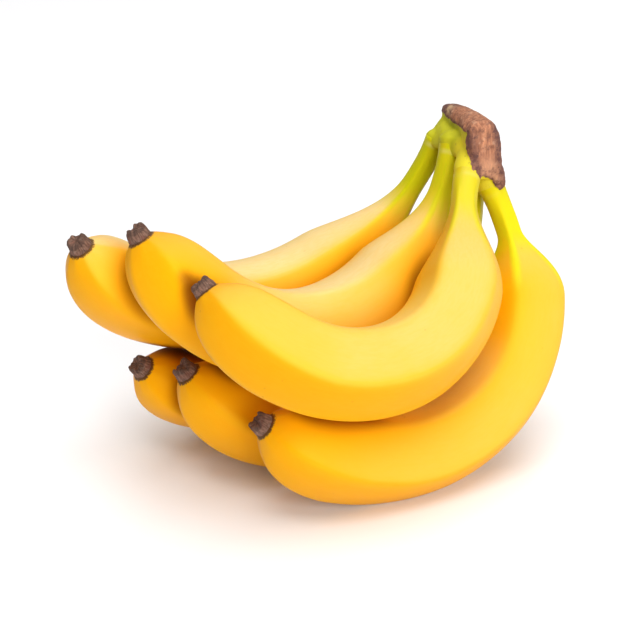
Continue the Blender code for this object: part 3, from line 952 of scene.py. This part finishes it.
def bark_material():
    dark_fibre = (0.075, 0.040, 0.028, 1.0)
    light_fibre = (0.29, 0.155, 0.108, 1.0)
    ruddy_brown = (0.22, 0.075, 0.050, 1.0)
    grey_fleck = (0.35, 0.245, 0.19, 1.0)
    rim_black = (0.035, 0.020, 0.016, 1.0)

    made, tree, shader, place, grain = new_material("blossom_end", 0.8, 0.3)
    streaks = stretched(tree, noise_socket(tree, grain, 11.0, 5.0, 0.65), 0.3, 0.72)
    colour = mixed(tree, streaks, dark_fibre, light_fibre)
    ruddy = stretched(tree, noise_socket(tree, place, 260.0, 3.0), 0.52, 0.68)
    colour = mixed(tree, weighed(tree, ruddy, 0.45), colour, ruddy_brown)
    greyed = stretched(tree, noise_socket(tree, place, 420.0, 4.0, 0.7), 0.56, 0.72)
    colour = mixed(tree, weighed(tree, greyed, 0.7), colour, grey_fleck)
    colour = mixed(tree, share_of(tree, "rim", 0.45), colour, rim_black)
    tree.links.new(colour, shader.inputs["Base Color"])
    bumped(tree, shader, noise_socket(tree, grain, 30.0, 5.0, 0.7), 0.0006, 0.9)
    return made


def cork_material():
    dark_fibre = (0.31, 0.120, 0.065, 1.0)
    light_fibre = (0.74, 0.33, 0.175, 1.0)
    light_fleck = (0.84, 0.52, 0.34, 1.0)
    low_tan = (0.80, 0.42, 0.24, 1.0)
    pale_tan = (0.92, 0.68, 0.38, 1.0)
    dark_brown = (0.12, 0.052, 0.046, 1.0)
    deep_brown = (0.17, 0.07, 0.05, 1.0)
    flesh_green = (0.42, 0.41, 0.003, 1.0)
    flesh_light = (0.54, 0.52, 0.012, 1.0)
    lemon_green = (0.70, 0.59, 0.020, 1.0)
    speck_green = (0.25, 0.20, 0.02, 1.0)

    made, tree, shader, place, grain = new_material("crown", 0.75, 0.3)
    fibre = stretched(tree, noise_socket(tree, grain, 10.0, 6.0, 0.65), 0.32, 0.7)
    cork = mixed(tree, fibre, dark_fibre, light_fibre)
    light = stretched(tree, noise_socket(tree, place, 260.0, 5.0, 0.65), 0.52, 0.70)
    cork = mixed(tree, weighed(tree, light, 0.6), cork, light_fleck)
    cork = mixed(tree, share_of(tree, "low_front", 0.55), cork, low_tan)
    cork = mixed(tree, share_of(tree, "tan_spot", 0.85), cork, pale_tan)
    mottle = noise_socket(tree, place, 420.0, 5.0, 0.7)
    speckled = weighed(tree, stretched(tree, mottle, 0.50, 0.64), 0.6)
    patchy = maths(tree, "ADD", about_zero(tree, mottle, 1.2), 0.8)
    edge = weighed(tree, share_of(tree, "edge", 1.1), patchy)
    cork = mixed(tree, maths(tree, "ADD", edge, speckled, True), cork, dark_brown)
    deep = weighed(tree, maths(tree, "SUBTRACT", 1.0, attribute(tree, "height")), 0.55)
    cork = mixed(tree, deep, cork, deep_brown)

    patch = stretched(tree, noise_socket(tree, place, 90.0, 3.0), 0.35, 0.65)
    green = mixed(tree, patch, flesh_green, flesh_light)
    green = mixed(tree, share_of(tree, "lemon", 0.9), green, lemon_green)
    specks = stretched(tree, noise_socket(tree, place, 700.0, 3.0), 0.62, 0.72)
    green = mixed(tree, weighed(tree, specks, 0.4), green, speck_green)

    # the cork's border is ragged
    ragged = maths(tree, "ADD", attribute(tree, "cork"), about_zero(tree, mottle, 0.8))
    colour = mixed(tree, stretched(tree, ragged, 0.4, 0.6), green, cork)
    tree.links.new(colour, shader.inputs["Base Color"])
    height = noise_socket(tree, grain, 40.0, 6.0, 0.7)
    strength = maths(tree, "ADD", share_of(tree, "cork", 0.7), 0.1)
    bumped(tree, shader, height, 0.0006, strength)
    return made


def look_at(made, target):
    direction = Vector(target) - made.location
    made.rotation_mode = "QUATERNION"
    made.rotation_quaternion = direction.to_track_quat("-Z", "Y")


def area_light(name, place, target, size, watts):
    light = bpy.data.lights.new(name, "AREA")
    light.shape = "DISK"
    light.size = size
    light.energy = watts
    light.color = LIGHT_COLOUR
    made = new_object(name, light)
    made.location = place
    look_at(made, target)


# Pieces
PEEL = peel_material()
BARK = bark_material()
CORK = cork_material()

for number, fruit in enumerate(FRUITS):
    skin = banana(fruit, number)
    skin.data.materials.append(PEEL)
    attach(skin, "root")
    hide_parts(fruit["name"])
    stub = blossom_end(fruit, number)
    stub.data.materials.append(BARK)
    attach(stub, "root")
    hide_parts(fruit["name"].replace("banana", "blossom_end"))

cut = crown()
cut.data.materials.append(CORK)
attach(cut, "root")
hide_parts("crown")

# Floor
FLOOR_SIZE = 6.0
bpy.ops.mesh.primitive_plane_add(size=FLOOR_SIZE, location=(0.0, 0.0, 0.0))
floor = bpy.context.object
floor.name = "floor"
paper = bpy.data.materials.new("floor_paper")
paper.use_nodes = True
paper_shader = paper.node_tree.nodes["Principled BSDF"]
paper_shader.inputs["Base Color"].default_value = (0.90, 0.91, 0.94, 1.0)
paper_shader.inputs["Roughness"].default_value = 0.9
paper_shader.inputs["Specular IOR Level"].default_value = 0.1
floor.data.materials.append(paper)

# Light: a wide soft one overhead, a second low at the front right, one that whitens the
# floor behind the bunch, and an even sky
LIGHT_COLOUR = (1.0, 0.98, 0.95)
BUNCH = (0.0, 0.0, 0.05)
FLOOR_BEHIND = (0.0, 1.0, 0.0)
# Each light: name, place, target, size and watts
LIGHTS = (
    ("key", (0.12, -0.45, 2.05), BUNCH, 1.9, 38.0),
    ("front_fill", (0.9, -2.1, 0.95), BUNCH, 1.5, 46.0),
    ("back_wash", (0.0, 1.6, 2.0), FLOOR_BEHIND, 1.6, 16.0),
)
SKY_STRENGTH = 0.23
for light in LIGHTS:
    area_light(*light)
world = bpy.data.worlds.new("studio")
bpy.context.scene.world = world
world.use_nodes = True
background = world.node_tree.nodes["Background"]
background.inputs["Color"].default_value = (1.0, 1.0, 1.0, 1.0)
background.inputs["Strength"].default_value = SKY_STRENGTH
bpy.context.scene.view_settings.view_transform = "Standard"

# Camera
FIELD_OF_VIEW = 20.0
ELEVATION = 24.0
DISTANCE = 0.766
SENSOR = 36.0
TARGET = Vector((0.0, 0.042, 0.042)) + SHIFT * MM
camera_data = bpy.data.cameras.new("camera")
camera_data.sensor_width = SENSOR
camera_data.lens = SENSOR / 2 / tan(radians(FIELD_OF_VIEW / 2))
camera = new_object("camera", camera_data)
back = Vector((0.0, -cos(radians(ELEVATION)), sin(radians(ELEVATION))))
camera.location = TARGET + back * DISTANCE
look_at(camera, TARGET)
bpy.context.scene.camera = camera
